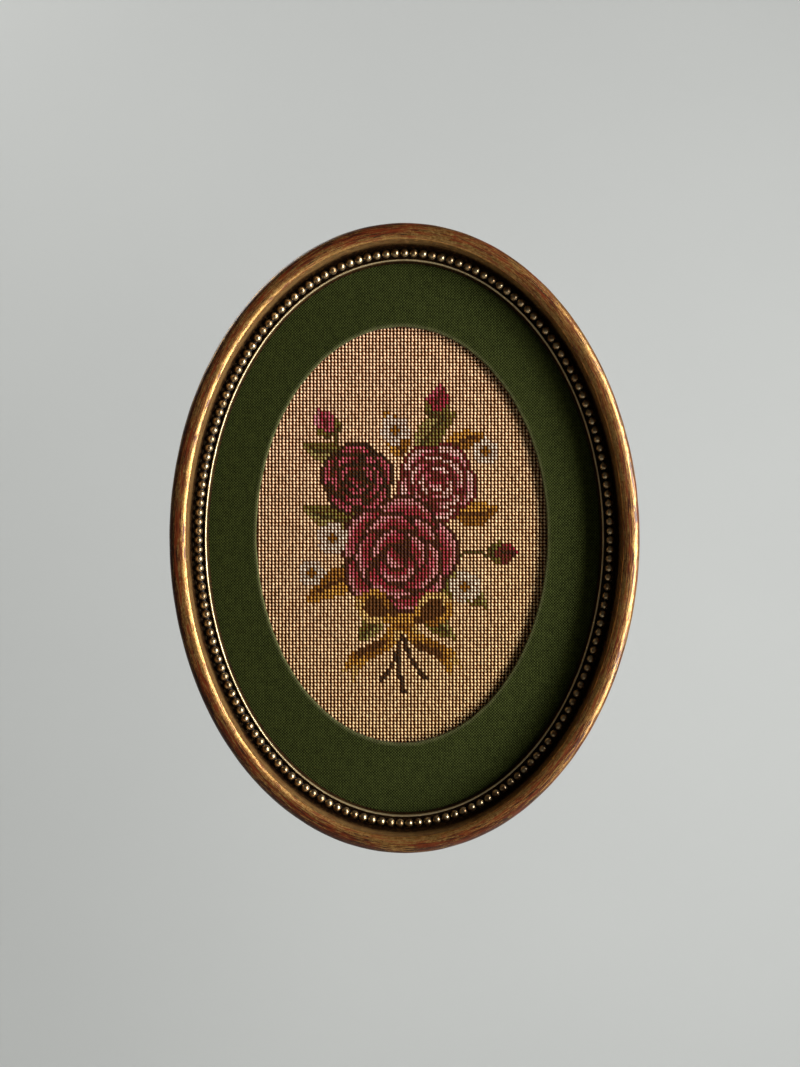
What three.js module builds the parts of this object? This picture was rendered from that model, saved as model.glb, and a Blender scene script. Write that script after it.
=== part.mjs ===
// A small oval wall picture: needlework behind a cloth-covered mat, in a gilded frame with a course of pearls.
// Millimetres, +Z up. The picture faces -Y and its back lies in the plane y = 0, against the wall. The origin is
// the middle of the frame's flat back at the top of the oval, where the picture is hung.
// Inset is how far a point lies inside the frame's outer edge, and lift how far it stands off the wall.
import * as THREE from "three";

// The rebate is the oval that the frame is made for, 13 by 18 cm, and the moulding is built round it.
const REBATE_WIDTH = 130;
const REBATE_HEIGHT = 180;
const WALL_WIDTH = 8.6;
const RABBET_WIDTH = 3.0;
const OUTER_WIDTH = REBATE_WIDTH + 2 * WALL_WIDTH;
const OUTER_HEIGHT = REBATE_HEIGHT + 2 * WALL_WIDTH;
const MOULDING_WIDTH = WALL_WIDTH + RABBET_WIDTH;

// What lies in the rabbet, from the back: the backing board, the needlework on its canvas, and the mat.
const LAYER_GAP = 0.3;
const EDGE_PLAY = 0.4;
const BACKING_THICKNESS = 1.4;
const NEEDLEWORK_THICKNESS = 1.1;
const MAT_THICKNESS = 1.4;
const MAT_ROUNDING = 0.35;
const MAT_WINDOW = { width: 92.4, height: 132.1, right: -0.8, up: 1.0 };

const BACKING_LIFT = LAYER_GAP;
const NEEDLEWORK_LIFT = BACKING_LIFT + BACKING_THICKNESS + LAYER_GAP;
const MAT_LIFT = NEEDLEWORK_LIFT + NEEDLEWORK_THICKNESS + LAYER_GAP;
const RABBET_CEILING = MAT_LIFT + MAT_THICKNESS + LAYER_GAP;

// The moulding's face: an outer round, a hollow that falls from it to the pearls' bed, and the lip.
const BACK_CHAMFER = 0.6;
const ROUND_RADIUS = 3.3;
const ROUND_CENTRE_LIFT = 10.9;
const ROUND_END_ANGLE = THREE.MathUtils.degToRad(52);
const HOLLOW_START = { inset: 5.4, lift: 13.1 };
const HOLLOW_PULL = { inset: 5.7, lift: 7.6 };
const BED_LIFT = 6.2;
const BED_OUTER_INSET = 6.8;
const BED_INNER_INSET = 10.3;
const LIP_RADIUS = 0.32;
const LIP_CENTRE = { inset: 10.75, lift: 7.2 };

// The pearls stand in the bed, evenly spaced along it, and are joined by narrow necks.
const PEARL_COUNT = 167;
const PEARL_INSET = 8.5;
const PEARL_HALF_WIDTH = 1.3;
const PEARL_HEIGHT = 1.9;
const PEARL_FOOT_LIFT = BED_LIFT + LAYER_GAP;
const NECK_SCALE = 0.42;

const RING_STEPS = 80;
const CURVE_STEPS = 3;
const PEARL_SIDES = 5;
const SHEET_STEPS = 32;

const SLOTS = {
  gilt: { color: 0x8a6127, roughness: 0.35, metalness: 0.9 },
  pearls: { color: 0xa88a4c, roughness: 0.25, metalness: 0.9 },
  matCloth: { color: 0x2f3316, roughness: 0.95, metalness: 0 },
  needlework: { color: 0xb48e66, roughness: 0.9, metalness: 0 },
  card: { color: 0x8d7758, roughness: 0.9, metalness: 0 },
};

const picture = new THREE.Group();
picture.position.z = (BACK_CHAMFER + WALL_WIDTH - OUTER_HEIGHT) / 2;

function addPart(name, geometry, slot) {
  const mesh = new THREE.Mesh(geometry, new THREE.MeshStandardMaterial(slot));
  mesh.name = name;
  picture.add(mesh);
}

// The pearls' line, drawn from the top of the oval and sampled finely enough to space them evenly.
const pearlLine = new THREE.EllipseCurve(0, 0, OUTER_HEIGHT / 2 - PEARL_INSET, OUTER_WIDTH / 2 - PEARL_INSET);
pearlLine.arcLengthDivisions = 8 * PEARL_COUNT;

// Turns a closed outline of insets and lifts into an oval ring, as an oval lathe does: each point keeps its
// inset on both axes. The stations lie evenly along the pearls' line, and every second one can be drawn in
// towards a point of the section, which makes a neck there.
function turnOval(outline, steps, neck = { inset: 0, lift: 0, scale: 1 }) {
  const section = [...outline, outline[0]].map(({ x, y }) => new THREE.Vector2(OUTER_HEIGHT / 2 - x, -y));
  const ring = new THREE.LatheGeometry(section, steps);
  const place = ring.getAttribute("position");
  for (let i = 0; i < place.count; i += 1) {
    const station = Math.floor(i / section.length);
    const angle = 2 * Math.PI * pearlLine.getUtoTmapping(station / steps);
    const scale = station % 2 === 0 ? 1 : neck.scale;
    const { x, y } = section[i % section.length];
    const inset = neck.inset + scale * (OUTER_HEIGHT / 2 - x - neck.inset);
    const lift = neck.lift + scale * (-y - neck.lift);
    const across = (OUTER_WIDTH / 2 - inset) * Math.sin(angle);
    const up = (OUTER_HEIGHT / 2 - inset) * Math.cos(angle);
    place.setXYZ(i, across, -lift, up);
  }
  ring.computeVertexNormals();
  return ring;
}

// The moulding's section, drawn from the rabbet over the lip, the bed and the face to the outer edge and the back.
function mouldingOutline() {
  const face = new THREE.Path();
  face.moveTo(WALL_WIDTH, 0);
  face.lineTo(WALL_WIDTH, RABBET_CEILING);
  face.lineTo(MOULDING_WIDTH, RABBET_CEILING);
  face.absarc(LIP_CENTRE.inset, LIP_CENTRE.lift, LIP_RADIUS, 0, Math.PI, false);
  face.lineTo(BED_INNER_INSET, BED_LIFT);
  face.lineTo(BED_OUTER_INSET, BED_LIFT);
  face.quadraticCurveTo(HOLLOW_PULL.inset, HOLLOW_PULL.lift, HOLLOW_START.inset, HOLLOW_START.lift);
  face.absarc(ROUND_RADIUS, ROUND_CENTRE_LIFT, ROUND_RADIUS, ROUND_END_ANGLE, Math.PI, false);
  face.lineTo(0, BACK_CHAMFER);
  face.lineTo(BACK_CHAMFER, 0);
  return face.getPoints(CURVE_STEPS);
}

// A half-round strip, drawn in between each pearl and the next.
function pearlCourse() {
  const pearl = new THREE.EllipseCurve(PEARL_INSET, PEARL_FOOT_LIFT, PEARL_HALF_WIDTH, PEARL_HEIGHT, 0, Math.PI);
  const neck = { inset: PEARL_INSET, lift: PEARL_FOOT_LIFT, scale: NECK_SCALE };
  return turnOval(pearl.getPoints(PEARL_SIDES), 2 * PEARL_COUNT, neck);
}

function ovalShape(width, height, right = 0, up = 0) {
  return new THREE.Shape().absellipse(right, up, width / 2, height / 2, 0, 2 * Math.PI, false);
}

// What fills the rebate is cut a little smaller all round.
function rebateShape() {
  return ovalShape(REBATE_WIDTH - 2 * EDGE_PLAY, REBATE_HEIGHT - 2 * EDGE_PLAY);
}

// Extrudes a flat cut, drawn as the picture is seen, and stands it up with its back at the given lift.
function standingSheet(cut, backLift, options) {
  const sheet = new THREE.ExtrudeGeometry(cut, { curveSegments: SHEET_STEPS, ...options });
  return sheet.rotateX(Math.PI / 2).translate(0, -backLift, 0);
}

function board(backLift, thickness) {
  return standingSheet(rebateShape(), backLift, { depth: thickness, bevelEnabled: false });
}

// The mat's cloth is turned over the card's edges, so they are rounded. Its window sits a little off centre.
function matRing() {
  const cut = rebateShape();
  cut.holes.push(ovalShape(MAT_WINDOW.width, MAT_WINDOW.height, MAT_WINDOW.right, MAT_WINDOW.up));
  return standingSheet(cut, MAT_LIFT + MAT_ROUNDING, {
    depth: MAT_THICKNESS - 2 * MAT_ROUNDING,
    bevelThickness: MAT_ROUNDING,
    bevelSize: MAT_ROUNDING,
    bevelOffset: -MAT_ROUNDING,
    bevelSegments: 2,
  });
}

addPart("frame_moulding", turnOval(mouldingOutline(), RING_STEPS), SLOTS.gilt);
addPart("pearl_course", pearlCourse(), SLOTS.pearls);
addPart("mat", matRing(), SLOTS.matCloth);
addPart("needlework", board(NEEDLEWORK_LIFT, NEEDLEWORK_THICKNESS), SLOTS.needlework);
addPart("backing_board", board(BACKING_LIFT, BACKING_THICKNESS), SLOTS.card);

export default picture;
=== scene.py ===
"""Looks of a small oval needlework picture: a gilded frame with a course of pearls, a cloth mat and tent stitch.

The object is in metres, +Z up, faces -Y and has its back in the plane y = 0. The sizes below are millimetres.
Inset is how far a point lies inside the frame's outer edge, and lift how far it stands off the wall.
"""

import logging
import math
from dataclasses import dataclass, field
from enum import Enum
from typing import Any, ClassVar

import bmesh
import bpy
import numpy as np
from bpy.types import ID, Material, Mesh, Node, NodeSocket, NodeTree, Object
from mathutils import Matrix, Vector


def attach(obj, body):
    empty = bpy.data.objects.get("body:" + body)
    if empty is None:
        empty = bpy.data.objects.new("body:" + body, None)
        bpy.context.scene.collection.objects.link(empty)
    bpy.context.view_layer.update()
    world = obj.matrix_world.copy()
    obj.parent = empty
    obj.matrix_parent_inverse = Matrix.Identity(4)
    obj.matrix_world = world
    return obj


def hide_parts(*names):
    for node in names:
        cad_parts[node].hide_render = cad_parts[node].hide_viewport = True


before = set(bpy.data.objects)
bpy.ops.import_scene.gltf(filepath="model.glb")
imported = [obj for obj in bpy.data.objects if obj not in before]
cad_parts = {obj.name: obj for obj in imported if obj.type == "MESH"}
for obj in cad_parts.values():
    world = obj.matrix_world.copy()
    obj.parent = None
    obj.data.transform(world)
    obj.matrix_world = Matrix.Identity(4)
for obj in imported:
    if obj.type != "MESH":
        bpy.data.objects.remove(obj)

MM = 0.001

log = logging.getLogger("picture")


def linear(code: str) -> tuple[float, float, float, float]:
    """Turns an sRGB hex code into a linear colour.

    Args:
        code: The colour as "#RRGGBB".

    Returns:
        Red, green and blue in linear light, with an alpha of one.
    """
    parts = [int(code[i : i + 2], 16) / 255 for i in (1, 3, 5)]
    red, green, blue = (c / 12.92 if c <= 0.04045 else ((c + 0.055) / 1.055) ** 2.4 for c in parts)
    return red, green, blue, 1.0


def feed(tree: NodeTree, node: Node, inputs: dict[int | str, Any]) -> None:
    """Gives a node's sockets what they read.

    Args:
        tree: The node's tree.
        node: The node.
        inputs: What each input socket gets, by its name or number: another node's output, or a plain value.
    """
    for key, value in inputs.items():
        if isinstance(value, NodeSocket):
            tree.links.new(value, node.inputs[key])
        else:
            node.inputs[key].default_value = value


def add_node(
    tree: NodeTree,
    kind: str,
    settings: dict[str, Any] | None = None,
    inputs: dict[int | str, Any] | None = None,
) -> Node:
    """Adds a node with its settings and links.

    Args:
        tree: The tree that gets the node.
        kind: The node's type.
        settings: The node's own properties.
        inputs: What its sockets get, as feed takes it.

    Returns:
        The new node.
    """
    node = tree.nodes.new(kind)
    for name, value in (settings or {}).items():
        setattr(node, name, value)
    feed(tree, node, inputs or {})
    return node


@dataclass(frozen=True)
class Nodes:
    """A node tree, with a short way to add each kind of node that recurs. Its methods return the node's output."""

    tree: NodeTree

    def place(self) -> NodeSocket:
        """Reads each point's place on the object."""
        return add_node(self.tree, "ShaderNodeTexCoord").outputs["Object"]

    def attribute(self, name: str, output: str = "Vector") -> NodeSocket:
        """Reads one of the mesh's own attributes."""
        return add_node(self.tree, "ShaderNodeAttribute", {"attribute_name": name}).outputs[output]

    def axes(self, vector: NodeSocket) -> list[NodeSocket]:
        """Takes a vector's three numbers apart."""
        return list(add_node(self.tree, "ShaderNodeSeparateXYZ", inputs={0: vector}).outputs)

    def math(self, operation: str, *values: Any, clamp: bool = False) -> NodeSocket:
        """Calculates with numbers, given in the operation's own order."""
        settings = {"operation": operation, "use_clamp": clamp}
        return add_node(self.tree, "ShaderNodeMath", settings, dict(enumerate(values))).outputs[0]

    def vector(self, operation: str, inputs: dict[int | str, Any]) -> NodeSocket:
        """Calculates with vectors."""
        return add_node(self.tree, "ShaderNodeVectorMath", {"operation": operation}, inputs).outputs[0]

    def mapped(
        self,
        value: NodeSocket,
        low: float = 0.0,
        high: float = 1.0,
        to_low: float = 0.0,
        to_high: float = 1.0,
        curve: str = "LINEAR",
    ) -> NodeSocket:
        """Turns one range of numbers into another, and holds what lies past its ends.

        Args:
            value: The number.
            low: Where the range starts.
            high: Where it ends.
            to_low: What its start becomes.
            to_high: What its end becomes.
            curve: How it runs between them.

        Returns:
            The new number.
        """
        inputs = {"Value": value, "From Min": low, "From Max": high, "To Min": to_low, "To Max": to_high}
        return add_node(self.tree, "ShaderNodeMapRange", {"interpolation_type": curve}, inputs).outputs[0]

    def mixed(self, share: NodeSocket, first: Any, second: Any) -> NodeSocket:
        """Mixes two colours.

        Args:
            share: The second colour's share.
            first: A colour, as a node's output or as "#RRGGBB".
            second: The other colour.

        Returns:
            The mixed colour.
        """
        ends = [linear(end) if isinstance(end, str) else end for end in (first, second)]
        inputs = {0: share, 6: ends[0], 7: ends[1]}
        return add_node(self.tree, "ShaderNodeMix", {"data_type": "RGBA"}, inputs).outputs[2]

    def stretched(self, place: NodeSocket, *lengths: float, unit: float = MM) -> NodeSocket:
        """Divides a place by a length along each of X, Y and Z."""
        scale = tuple(1 / (length * unit) for length in lengths)
        return add_node(self.tree, "ShaderNodeMapping", inputs={"Vector": place, "Scale": scale}).outputs[0]

    def noise(
        self,
        place: NodeSocket,
        scale: float = 1.0,
        detail: float = 2.0,
        roughness: float = 0.5,
        distortion: float = 0.0,
    ) -> NodeSocket:
        """Draws soft random patches.

        Args:
            place: Where they are read.
            scale: How many of them lie in one unit of the place.
            detail: How many finer layers lie over them.
            roughness: How strong the finer layers are.
            distortion: How far they are drawn about.

        Returns:
            A number about one half.
        """
        inputs = {"Scale": scale, "Detail": detail, "Roughness": roughness, "Distortion": distortion}
        return add_node(self.tree, "ShaderNodeTexNoise", inputs={"Vector": place, **inputs}).outputs["Fac"]

    def relief(self, height: NodeSocket, depth: float, strength: float) -> NodeSocket:
        """Raises the surface by a height, up to a depth in millimetres."""
        inputs = {"Strength": strength, "Distance": depth * MM, "Height": height}
        return add_node(self.tree, "ShaderNodeBump", inputs=inputs).outputs[0]


def in_scene(name: str, data: ID) -> Object:
    """Puts a mesh, a light or a camera into the scene as a new object."""
    thing = bpy.data.objects.new(name, data)
    bpy.context.scene.collection.objects.link(thing)
    return thing


def put_attribute(mesh: Mesh, name: str, values: np.ndarray) -> None:
    """Stores a value of each point on a mesh.

    Args:
        mesh: The mesh.
        name: The attribute's name.
        values: One number, vector or colour a point.
    """
    kinds = {1: ("FLOAT", "value"), 3: ("FLOAT_VECTOR", "vector"), 4: ("FLOAT_COLOR", "color")}
    kind, key = kinds[values.shape[1] if values.ndim > 1 else 1]
    mesh.attributes.new(name, kind, "POINT").data.foreach_set(key, values.astype(np.float32).ravel())


def solid(
    name: str,
    places: np.ndarray,
    faces: list[tuple[int, ...]],
    finishes: list[Material],
    finish_of: list[int] | None = None,
    attributes: dict[str, np.ndarray] | None = None,
) -> Object:
    """Makes one closed, smooth piece with its faces outwards.

    Args:
        name: The piece's name.
        places: The points in millimetres.
        faces: The points of each face.
        finishes: The piece's materials.
        finish_of: Which of them each face has; the first where it is left out.
        attributes: Values of the points that the materials read.

    Returns:
        The piece, in the scene.
    """
    mesh = bpy.data.meshes.new(name)
    mesh.from_pydata((places * MM).tolist(), [], faces)
    for key, values in (attributes or {}).items():
        put_attribute(mesh, key, values)
    for finish in finishes:
        mesh.materials.append(finish)
    if finish_of is not None:
        mesh.polygons.foreach_set("material_index", finish_of)
    turned = bmesh.new()
    turned.from_mesh(mesh)
    bmesh.ops.recalc_face_normals(turned, faces=turned.faces)
    turned.to_mesh(mesh)
    turned.free()
    mesh.shade_smooth()
    return in_scene(name, mesh)


def ring_faces(stations: int, points: int) -> list[tuple[int, int, int, int]]:
    """Lists the faces of a closed ring whose closed section has the same points at every station."""
    return [
        (
            i * points + j,
            i * points + (j + 1) % points,
            (i + 1) % stations * points + (j + 1) % points,
            (i + 1) % stations * points + j,
        )
        for i in range(stations)
        for j in range(points)
    ]


def arc(centre: tuple[float, float], radius: float, start: float, end: float, steps: int) -> np.ndarray:
    """Points of a section's arc.

    Args:
        centre: Inset and lift of the centre.
        radius: The arc's radius.
        start: Its first angle in degrees, from the direction of growing inset towards growing lift.
        end: Its last angle.
        steps: How many pieces it has.

    Returns:
        The arc's points, both ends with them.
    """
    turn = np.radians(np.linspace(start, end, steps + 1))
    return np.stack([centre[0] + radius * np.cos(turn), centre[1] + radius * np.sin(turn)], 1)


def grown(host: Object, tree: NodeTree, sizes: dict[str, Any], name: str) -> Object:
    """Runs a node tree on a host and keeps what it makes as a plain mesh.

    Args:
        host: The object with the tree's points; it is removed.
        tree: The geometry node tree.
        sizes: A value for each of the tree's named inputs.
        name: The new piece's name.

    Returns:
        The piece, in the scene, with no modifier.
    """
    modifier = host.modifiers.new(name, "NODES")
    modifier.node_group = tree
    for item in tree.interface.items_tree:
        if item.in_out == "INPUT" and item.name in sizes:
            modifier[item.identifier] = sizes[item.name]
    graph = bpy.context.evaluated_depsgraph_get()
    seen = host.evaluated_get(graph)
    mesh = bpy.data.meshes.new_from_object(seen, preserve_all_data_layers=True, depsgraph=graph)
    mesh.name = name
    host.modifiers.remove(modifier)
    bpy.data.objects.remove(host)
    return in_scene(name, mesh)


def new_tree(name: str, sizes: dict[str, str]) -> tuple[NodeTree, Node, Node]:
    """Starts a geometry node tree.

    Args:
        name: The tree's name.
        sizes: The socket type of each named input, after the geometry.

    Returns:
        The tree, its group input and its group output.
    """
    tree = bpy.data.node_groups.new(name, "GeometryNodeTree")
    tree.interface.new_socket(name="Geometry", in_out="INPUT", socket_type="NodeSocketGeometry")
    for key, kind in sizes.items():
        tree.interface.new_socket(name=key, in_out="INPUT", socket_type=kind)
    tree.interface.new_socket(name="Geometry", in_out="OUTPUT", socket_type="NodeSocketGeometry")
    return tree, add_node(tree, "NodeGroupInput"), add_node(tree, "NodeGroupOutput")


def lay(
    tree: NodeTree, given: Node, made: Node, laid: dict[int | str, Any]
) -> None:
    """Ends a tree: lays a shape on every point, makes plain smooth faces of all and gives them their finish.

    Args:
        tree: The tree.
        given: Its group input, with the points and the finish.
        made: Its group output.
        laid: The instancing node's inputs besides the points.
    """
    points = {"Points": given.outputs["Geometry"], **laid}
    copies = add_node(tree, "GeometryNodeInstanceOnPoints", inputs=points)
    plain = add_node(tree, "GeometryNodeRealizeInstances", inputs={0: copies.outputs[0]})
    smooth = add_node(tree, "GeometryNodeSetShadeSmooth", inputs={"Geometry": plain.outputs[0]})
    dress = {"Geometry": smooth.outputs[0], "Material": given.outputs["Finish"]}
    dressed = add_node(tree, "GeometryNodeSetMaterial", inputs=dress)
    tree.links.new(dressed.outputs[0], made.inputs[0])


def scattered(name: str, places: np.ndarray, attributes: dict[str, np.ndarray]) -> Object:
    """Makes a host of loose points for a node tree.

    Args:
        name: The host's name.
        places: The points in millimetres.
        attributes: Values of the points.

    Returns:
        The host, in the scene.
    """
    mesh = bpy.data.meshes.new(name)
    mesh.from_pydata((places * MM).tolist(), [], [])
    for key, values in attributes.items():
        put_attribute(mesh, key, values)
    return in_scene(name, mesh)


def drawn_number(tree: NodeTree, low: Any, high: Any, seed: Any) -> NodeSocket:
    """Draws a random number between two others for each point."""
    inputs = {2: low, 3: high, "Seed": seed}
    return add_node(tree, "FunctionNodeRandomValue", {"data_type": "FLOAT"}, inputs).outputs[1]


class Finish:
    """A real surface: a material whose own nodes give its colour, gloss and relief."""

    NAME: ClassVar[str] = "finish"

    def material(self) -> Material:
        """Makes the material and dresses its shader."""
        made = bpy.data.materials.new(self.NAME)
        made.use_nodes = True
        tree = made.node_tree
        feed(tree, tree.nodes["Principled BSDF"], self.dress(Nodes(tree)))
        return made

    def dress(self, nodes: Nodes) -> dict[str, Any]:
        """Adds the finish's nodes.

        Args:
            nodes: The material's tree.

        Returns:
            What the sockets of its principled shader get.
        """
        raise NotImplementedError


@dataclass(frozen=True)
class RubbedGilding(Finish):
    """Gold leaf over red bole, burnished on the lathe-turned moulding.

    Rubbing has worn the leaf along the turning, so the bole shows as fine red-brown streaks, the hollow keeps a
    smooth ochre gold, the lip is polished bare, and a dark patina stays in the bed and the creases. A thin coat of
    shellac lies over leaf and bole, so a strong light gives one cream line along the moulding. Lengths run along
    the turning and widths across it, in millimetres.
    """

    NAME: ClassVar[str] = "rubbed gold leaf over red bole"
    leaf: str = "#D0A25C"
    deep_leaf: str = "#94601E"
    bole: str = "#5E2208"
    patina: str = "#150A05"
    polished: str = "#E6D2A4"
    glint: str = "#FFE6A8"
    varnish_weight: float = 0.7
    varnish_roughness: float = 0.32
    streak_length: float = 4.5
    streak_width: float = 0.27
    line_length: float = 40.0
    line_width: float = 0.45
    line_share: float = 0.5
    patch_share: float = 0.3
    scratch_length: float = 5.0
    scratch_width: float = 0.42
    speck_depth: float = 0.4
    rub_reach: float = 0.6  # how much more of the noise a full rub takes off
    rub_start: float = 0.53
    rub_edge: tuple[float, float] = (-0.02, 0.035)
    score_edge: tuple[float, float] = (0.4, 0.48)
    pore_edge: tuple[float, float] = (0.42, 0.6)
    varnish_end: tuple[float, float] = (0.79, 0.84)  # the rub at which the varnish wears off
    dirt_spread: float = 0.9
    metal_share: float = 0.95

    def dress(self, nodes: Nodes) -> dict[str, Any]:
        """Lays leaf, bole and patina by the turning's own coordinates and the section's zones."""
        turning = nodes.attribute("turning")
        rub, patina_and_shade, burnish = nodes.axes(nodes.attribute("zones"))
        fine, long, scored = (
            nodes.stretched(turning, length, length, width, unit=1.0)
            for length, width in (
                (self.streak_length, self.streak_width),
                (self.line_length, self.line_width),
                (self.scratch_length, self.scratch_width),
            )
        )
        streaks = nodes.noise(fine, detail=3.0, roughness=0.8, distortion=0.3)
        lines = nodes.noise(long, detail=3.0, roughness=0.6)
        scratches = nodes.noise(scored)
        patches = nodes.noise(turning, scale=0.07, detail=3.0)
        specks = nodes.noise(turning, scale=1.3, detail=4.0, roughness=0.7)

        streaky = nodes.math("MULTIPLY_ADD", lines, self.line_share, streaks)
        wear = nodes.math("MULTIPLY_ADD", patches, self.patch_share, streaky)
        over = nodes.math("SUBTRACT", wear, nodes.math("MULTIPLY_ADD", rub, self.rub_reach, self.rub_start))
        unworn = nodes.mapped(over, *self.rub_edge, curve="SMOOTHSTEP")
        unscored = nodes.math("MAXIMUM", nodes.mapped(scratches, *self.score_edge, to_low=0.1), burnish)
        cover = nodes.math("MULTIPLY", unworn, unscored)

        gold = nodes.mixed(nodes.mapped(specks, 0.35, 0.65), self.deep_leaf, self.leaf)
        bole = nodes.mixed(nodes.mapped(scratches, *self.pore_edge, to_high=0.8), self.bole, self.patina)
        laid = nodes.mixed(cover, bole, nodes.mixed(burnish, gold, self.polished))
        uneven = nodes.math("SUBTRACT", specks, 0.5)
        # the dark patina of the bed and creases, and the painted shade at the foot of the outer shoulder
        dark_patina_and_shade = nodes.math("MULTIPLY_ADD", uneven, self.dirt_spread, patina_and_shade, clamp=True)
        clean = nodes.math("SUBTRACT", cover, dark_patina_and_shade, clamp=True)
        varnish = nodes.mapped(rub, *self.varnish_end, self.varnish_weight, 0.0)
        height = nodes.math("MULTIPLY_ADD", specks, self.speck_depth, wear)
        relief = nodes.relief(height, depth=0.06, strength=0.8)
        return {
            "Base Color": nodes.mixed(dark_patina_and_shade, laid, self.patina),
            "Metallic": nodes.math("MULTIPLY", clean, self.metal_share),
            "Roughness": nodes.mapped(clean, to_low=0.45, to_high=0.37),
            "Specular IOR Level": 0.15,
            "Specular Tint": linear(self.glint),
            "Coat Weight": nodes.math("MULTIPLY", varnish, nodes.math("SUBTRACT", 1.0, dark_patina_and_shade)),
            "Coat Roughness": self.varnish_roughness,
            "Coat Normal": relief,
            "Normal": relief,
        }


@dataclass(frozen=True)
class StainedWood(Finish):
    """Beech stained brown on the back and in the rabbet: dull, with its grain upright and a little dust."""

    NAME: ClassVar[str] = "brown stained beech"
    pale: str = "#8A6238"
    dark: str = "#553618"
    grain_length: float = 18.0
    grain_width: float = 0.9

    def dress(self, nodes: Nodes) -> dict[str, Any]:
        """Draws the grain along Z."""
        run = nodes.stretched(nodes.place(), self.grain_width, self.grain_width, self.grain_length)
        grain = nodes.noise(run, detail=5.0, roughness=0.65, distortion=0.3)
        return {
            "Base Color": nodes.mixed(nodes.mapped(grain, 0.32, 0.68), self.dark, self.pale),
            "Roughness": 0.68,
            "Normal": nodes.relief(grain, depth=0.05, strength=0.6),
        }


@dataclass(frozen=True)
class AntiquedPearls(Finish):
    """Burnished gilding on moulded pearls: each dome is polished and a dark glaze stays at its foot."""

    NAME: ClassVar[str] = "antiqued gilt pearls"
    gilt: str = "#C2AC86"
    worn: str = "#7A5E40"
    glaze: str = "#140803"
    foot: float = 6.8
    dome: float = 7.7
    patch_size: float = 1.6

    def dress(self, nodes: Nodes) -> dict[str, Any]:
        """Darkens the pearls towards their foot."""
        place = nodes.place()
        patches = nodes.noise(place, scale=1 / (self.patch_size * MM), detail=3.0)
        rise = nodes.mapped(nodes.axes(place)[1], -self.foot * MM, -self.dome * MM)
        dome = nodes.mixed(nodes.mapped(patches, 0.36, 0.6), self.worn, self.gilt)
        return {
            "Base Color": nodes.mixed(rise, self.glaze, dome),
            "Metallic": rise,
            "Roughness": nodes.mapped(rise, to_low=0.6, to_high=0.32),
            "Normal": nodes.relief(patches, depth=0.05, strength=0.5),
        }


@dataclass(frozen=True)
class PlainWeaveCloth(Finish):
    """Fine plain-woven cotton, dyed dark olive: its smooth threads shine softly towards a low light. Painted shade
    darkens the gaps of the weave, and the turned edge of the window is laid pale, partly wear, partly painted
    highlight.
    """

    NAME: ClassVar[str] = "dark olive plain-woven cotton"
    # the dark and the light thread: the step between them is partly painted shade in the weave's gaps
    dye: str = "#030300"
    light: str = "#202408"
    # the pale of the turned edge: partly worn cloth, partly a painted highlight
    lit_worn_fold: str = "#8C8660"
    lustre: str = "#EAFF8A"
    thread: float = 0.46  # the real threads lie 0.3 mm apart, which is too fine to show
    slub_length: float = 3.2
    slub_width: float = 0.5
    weave_height: float = 0.5
    slub_height: float = 0.6

    def dress(self, nodes: Nodes) -> dict[str, Any]:
        """Weaves the threads over and under along X and Z, with painted shade in the gaps between them."""
        place = nodes.place()
        x, _, z = nodes.axes(place)
        turn = math.pi / (self.thread * MM)
        warp, weft = (nodes.math("SINE", nodes.math("MULTIPLY", axis, turn)) for axis in (x, z))
        weave = nodes.math("MULTIPLY", warp, weft)
        slubs = (
            nodes.noise(nodes.stretched(place, across, 1.0, up))
            for across, up in ((self.slub_length, self.slub_width), (self.slub_width, self.slub_length))
        )
        both = nodes.math("ADD", *slubs)
        uneven = nodes.math("MULTIPLY", both, self.slub_height)
        height = nodes.math("MULTIPLY_ADD", weave, self.weave_height, uneven)
        # how high the threads stand; as colour it paints shade into the gaps between them
        raised = nodes.mapped(height, 0.22, 0.98)
        # the turned edge's crest laid pale: partly wear, partly a painted highlight where the edge catches the
        # light
        rubbed = nodes.math("MULTIPLY", nodes.attribute("lit_worn_fold", "Fac"), both)
        return {
            "Base Color": nodes.mixed(rubbed, nodes.mixed(raised, self.dye, self.light), self.lit_worn_fold),
            "Roughness": 0.55,
            "Specular IOR Level": nodes.mapped(raised, to_low=0.1, to_high=0.72),
            "Specular Tint": linear(self.lustre),
            "Sheen Weight": 0.03,
            "Sheen Roughness": 0.5,
            "Normal": nodes.relief(height, depth=0.12, strength=0.7),
        }


@dataclass(frozen=True)
class NeedleCanvas(Finish):
    """Tan cotton canvas of single threads, its open holes painted nearly black as the shade between the stitches.
    """

    NAME: ClassVar[str] = "tan cotton needlework canvas"
    pitch: float
    right: float
    up: float
    thread: str = "#74400E"
    # painted shade: the near-black of the open holes
    shaded_hole: str = "#050100"

    def dress(self, nodes: Nodes) -> dict[str, Any]:
        """Paints near-black shade where the holes are, at each corner of the stitches' grid."""
        middle = (self.right * MM, 0, self.up * MM)
        x, _, z = nodes.axes(nodes.vector("SUBTRACT", {0: nodes.place(), 1: middle}))
        turn = 2 * math.pi / (self.pitch * MM)
        across, up = (nodes.math("COSINE", nodes.math("MULTIPLY", axis, turn)) for axis in (x, z))
        # the thread; the rest is painted as shaded holes
        cloth = nodes.mapped(nodes.math("MAXIMUM", across, up), -0.5, 0.3)
        return {
            "Base Color": nodes.mixed(cloth, self.shaded_hole, self.thread),
            "Roughness": 0.9,
            "Specular IOR Level": 0.15,
            "Normal": nodes.relief(cloth, depth=0.2, strength=0.8),
        }


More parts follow.
